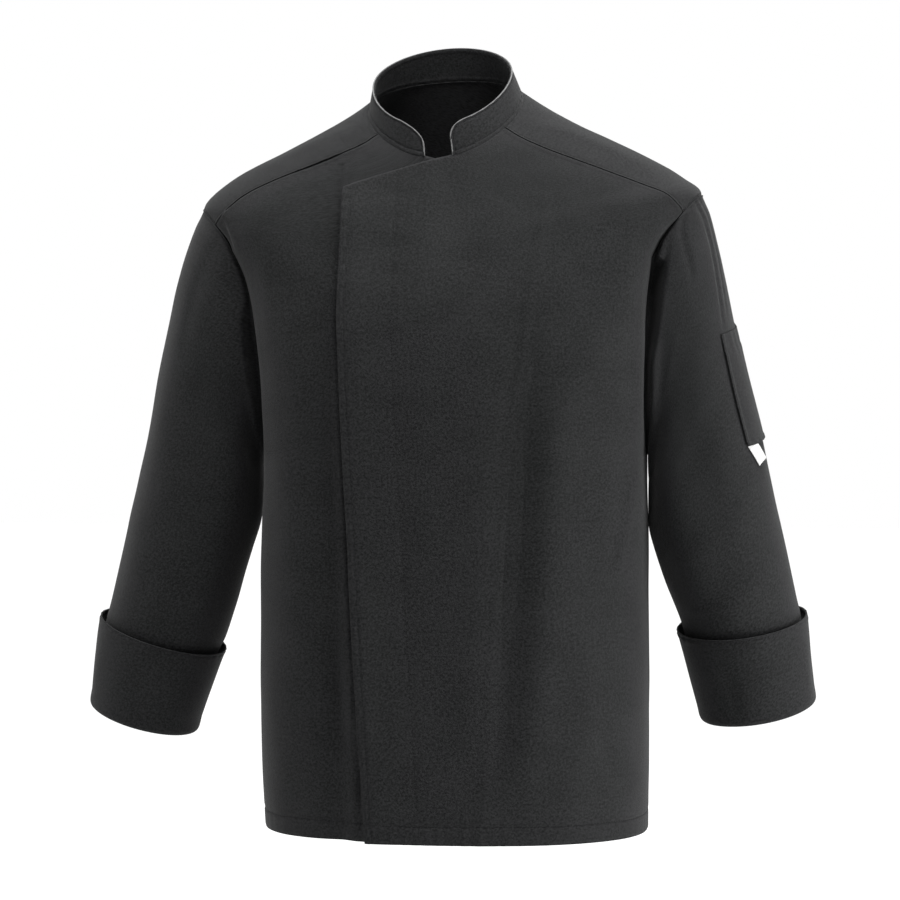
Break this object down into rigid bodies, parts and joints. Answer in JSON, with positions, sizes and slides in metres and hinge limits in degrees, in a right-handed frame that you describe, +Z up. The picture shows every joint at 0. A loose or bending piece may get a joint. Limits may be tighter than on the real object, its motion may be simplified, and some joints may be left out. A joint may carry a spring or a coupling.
{
  "type": "chef jacket",
  "caption": "Long-sleeved chef jacket filled out as worn, with stand collar, wide front lap, forward yoke, turned-back cuffs and a sleeve pen pocket.",
  "frame": {"origin": "middle of the neck, level with the points where the shoulders meet it", "axes": "+Z up along the body, front facing -Y, +X towards the wearer's left"},
  "size_m": [0.7357, 0.2737, 0.7819],
  "materials": {
    "black_twill": "matte twill",
    "pale_tape": "matte tape"
  },
  "bodies": {
    "root": {"front_right": "black_twill", "front_left": "black_twill", "back": "black_twill", "yoke": "black_twill", "collar": "black_twill", "sleeve_left": "black_twill", "sleeve_right": "black_twill", "cuff_left": "black_twill", "cuff_right": "black_twill", "pen_pocket": "black_twill", "label_tab": "pale_tape"}
  },
  "joints": []
}
